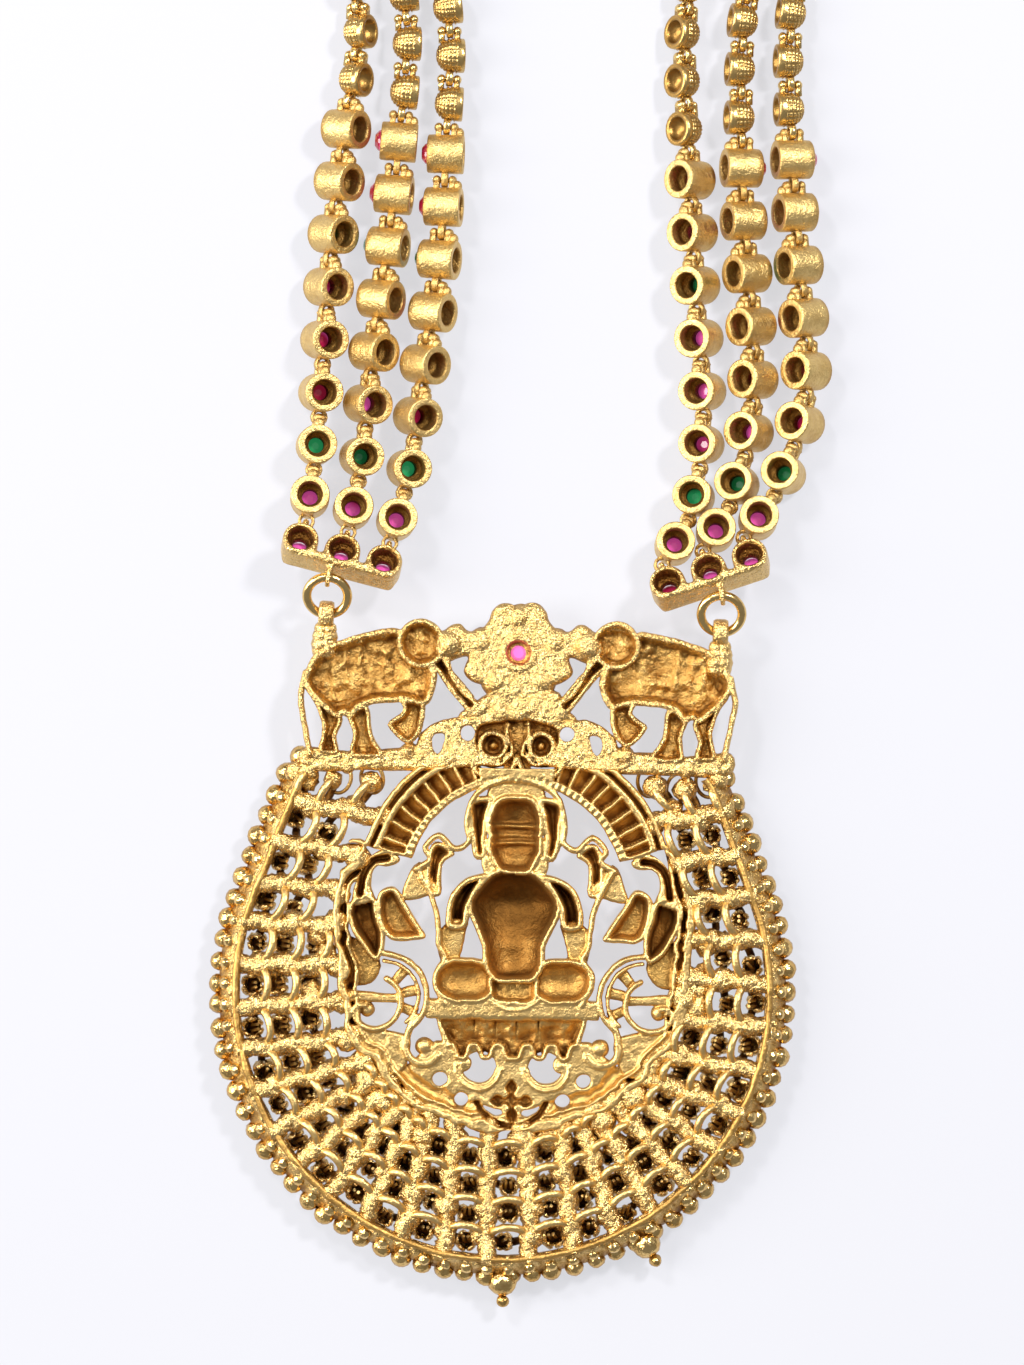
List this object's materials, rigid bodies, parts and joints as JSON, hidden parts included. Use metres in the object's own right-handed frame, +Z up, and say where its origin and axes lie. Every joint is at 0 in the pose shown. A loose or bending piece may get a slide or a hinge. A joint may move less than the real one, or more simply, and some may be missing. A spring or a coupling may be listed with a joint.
{
  "type": "temple necklace",
  "caption": "Temple necklace lying face down: pierced, beaded pendant with a seated figure, two spacer bars and strands of collet and dome links that run round to a clasp.",
  "frame": {"origin": "centre of the bounding box in X and Y, at the surface the necklace lies on", "axes": "+Z up out of the surface, +Y from the pendant to the clasp, +X to the right of the picture"},
  "size_m": [0.1286, 0.3002, 0.0096],
  "materials": {
    "pendant_gold": "rough cast back, antique gold plate, darkened in the hollows",
    "link_gold": "satin antique gold plate",
    "finding_gold": "satin antique gold plate",
    "ruby_glass": "polished",
    "emerald_glass": "polished",
    "pendant_stone_glass": "polished"
  },
  "bodies": {
    "root": {"pendant": "pendant_gold", "pendant_stone": "pendant_stone_glass", "jump_ring_left": "finding_gold", "jump_ring_right": "finding_gold", "spacer_bar_left": "link_gold", "spacer_bar_right": "link_gold", "strand_left_outer": "link_gold", "strand_left_middle": "link_gold", "strand_left_inner": "link_gold", "strand_right_inner": "link_gold", "strand_right_middle": "link_gold", "strand_right_outer": "link_gold", "collet_stones_ruby": "ruby_glass", "collet_stones_emerald": "emerald_glass", "end_bar_left": "finding_gold", "end_bar_right": "finding_gold", "back_chain_left": "finding_gold", "back_chain_right": "finding_gold", "clasp": "finding_gold"}
  },
  "joints": []
}
